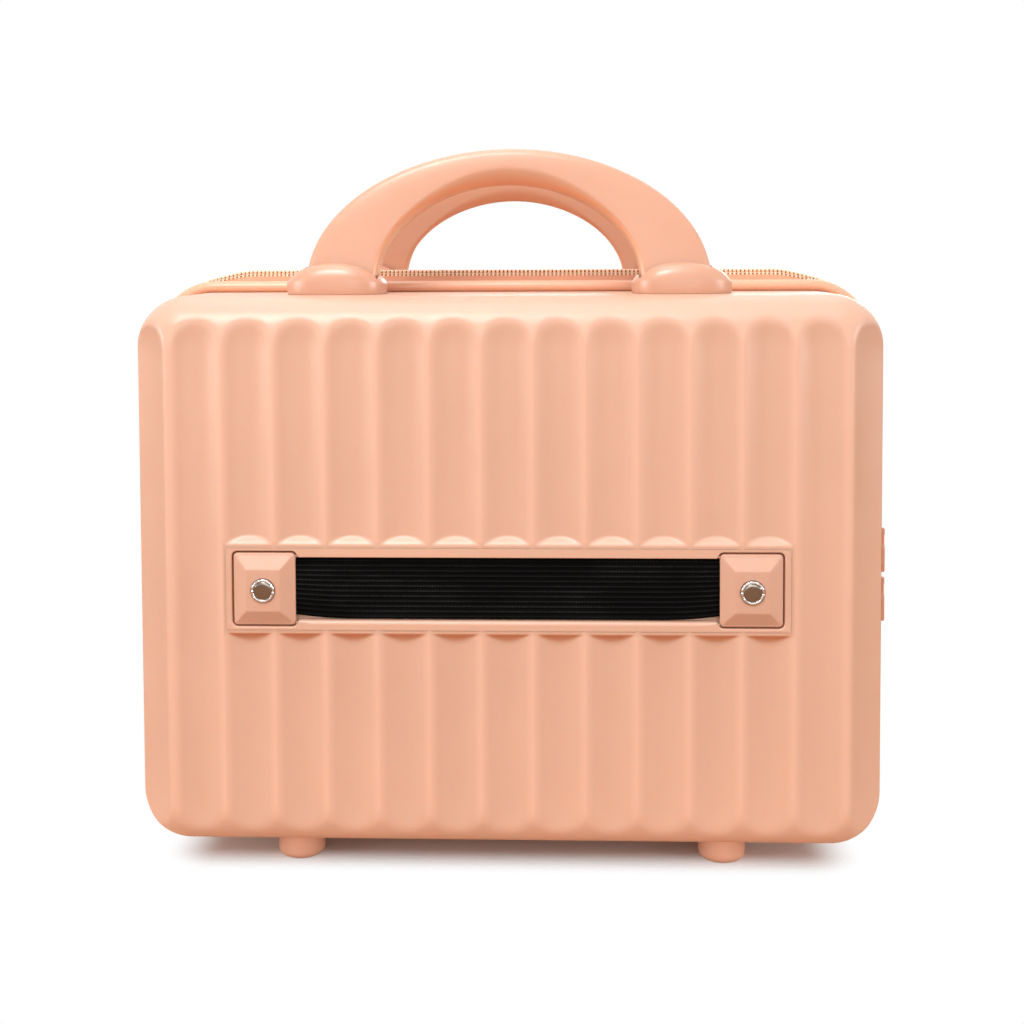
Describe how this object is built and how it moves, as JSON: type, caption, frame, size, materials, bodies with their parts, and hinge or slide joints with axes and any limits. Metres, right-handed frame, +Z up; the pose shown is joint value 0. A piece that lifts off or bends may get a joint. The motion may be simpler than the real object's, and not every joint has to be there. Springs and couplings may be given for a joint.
{
  "type": "makeup case",
  "caption": "Hard-shell makeup case with fluted faces, zip-joined halves hinged at the bottom, twin arched handles, feet and an elastic trolley strap.",
  "frame": {"origin": "centre of the footprint on the floor, under the feet and in the plane where the two halves meet", "axes": "+X to the right for someone who faces the strap side, +Y away from them through the case, +Z up"},
  "size_m": [0.3228, 0.148, 0.2948],
  "materials": {
    "shell_plastic": "satin peach moulded plastic",
    "handle_plastic": "satin peach moulded plastic",
    "cap_plastic": "satin peach moulded plastic",
    "foot_plastic": "satin peach moulded plastic",
    "block_plastic": "satin peach moulded plastic",
    "piping_vinyl": "soft peach vinyl",
    "zip_fabric": "woven peach tape",
    "zip_nylon": "peach moulded teeth",
    "lining_fabric": "dull woven lining",
    "elastic": "black ribbed elastic",
    "bolt_chrome": "polished chrome",
    "hidden_steel": "plain zinc-plated steel",
    "zip_metal": "light rose-gold plated metal"
  },
  "bodies": {
    "back_half": {"back_shell": "shell_plastic", "back_lining": "lining_fabric", "back_piping": "piping_vinyl", "back_zip_tape": "zip_fabric", "back_zip_teeth": "zip_nylon", "back_hinge_tape": "zip_fabric", "strap_block_left": "block_plastic", "strap_block_right": "block_plastic", "luggage_strap": "elastic", "strap_bolts": "bolt_chrome", "strap_nuts": "hidden_steel", "back_cap_left": "cap_plastic", "back_cap_right": "cap_plastic", "back_cap_plates": "hidden_steel", "back_cap_screws": "hidden_steel", "back_handle_pins": "hidden_steel", "back_foot_left": "foot_plastic", "back_foot_right": "foot_plastic", "back_foot_screws": "hidden_steel"},
    "front_half": {"front_shell": "shell_plastic", "front_lining": "lining_fabric", "front_piping": "piping_vinyl", "front_zip_tape": "zip_fabric", "front_zip_teeth": "zip_nylon", "front_hinge_tape": "zip_fabric", "front_cap_left": "cap_plastic", "front_cap_right": "cap_plastic", "front_cap_plates": "hidden_steel", "front_cap_screws": "hidden_steel", "front_handle_pins": "hidden_steel", "front_foot_left": "foot_plastic", "front_foot_right": "foot_plastic", "front_foot_screws": "hidden_steel"},
    "back_handle": {"back_handle": "handle_plastic"},
    "front_handle": {"front_handle": "handle_plastic"},
    "slider_upper": {"zip_slider_upper": "zip_metal"},
    "slider_lower": {"zip_slider_lower": "zip_metal"},
    "pull_upper": {"zip_pull_upper": "zip_metal"},
    "pull_lower": {"zip_pull_lower": "zip_metal"}
  },
  "joints": [
    {"name": "lid_hinge", "type": "hinge", "parent": "back_half", "child": "front_half", "pos_m": [0, 0, 0.0122], "axis": [-1, 0, 0], "range_deg": [0, 110]},
    {"name": "back_handle_pivot", "type": "hinge", "parent": "back_half", "child": "back_handle", "pos_m": [0, -0.037, 0.2436], "axis": [1, 0, 0], "range_deg": [0, 18]},
    {"name": "front_handle_pivot", "type": "hinge", "parent": "front_half", "child": "front_handle", "pos_m": [0, 0.037, 0.2436], "axis": [-1, 0, 0], "range_deg": [0, 18]},
    {"name": "slider_upper_run", "type": "slide", "parent": "back_half", "child": "slider_upper", "axis": [0, 0, 1], "range_m": [0, 0.07]},
    {"name": "slider_lower_run", "type": "slide", "parent": "back_half", "child": "slider_lower", "axis": [0, 0, -1], "range_m": [0, 0.055]},
    {"name": "pull_upper_swing", "type": "hinge", "parent": "slider_upper", "child": "pull_upper", "pos_m": [0.1621, 0, 0.12885], "axis": [0, -1, 0], "range_deg": [0, 150]},
    {"name": "pull_lower_swing", "type": "hinge", "parent": "slider_lower", "child": "pull_lower", "pos_m": [0.1621, 0, 0.10715], "axis": [0, -1, 0], "range_deg": [0, 120]}
  ]
}
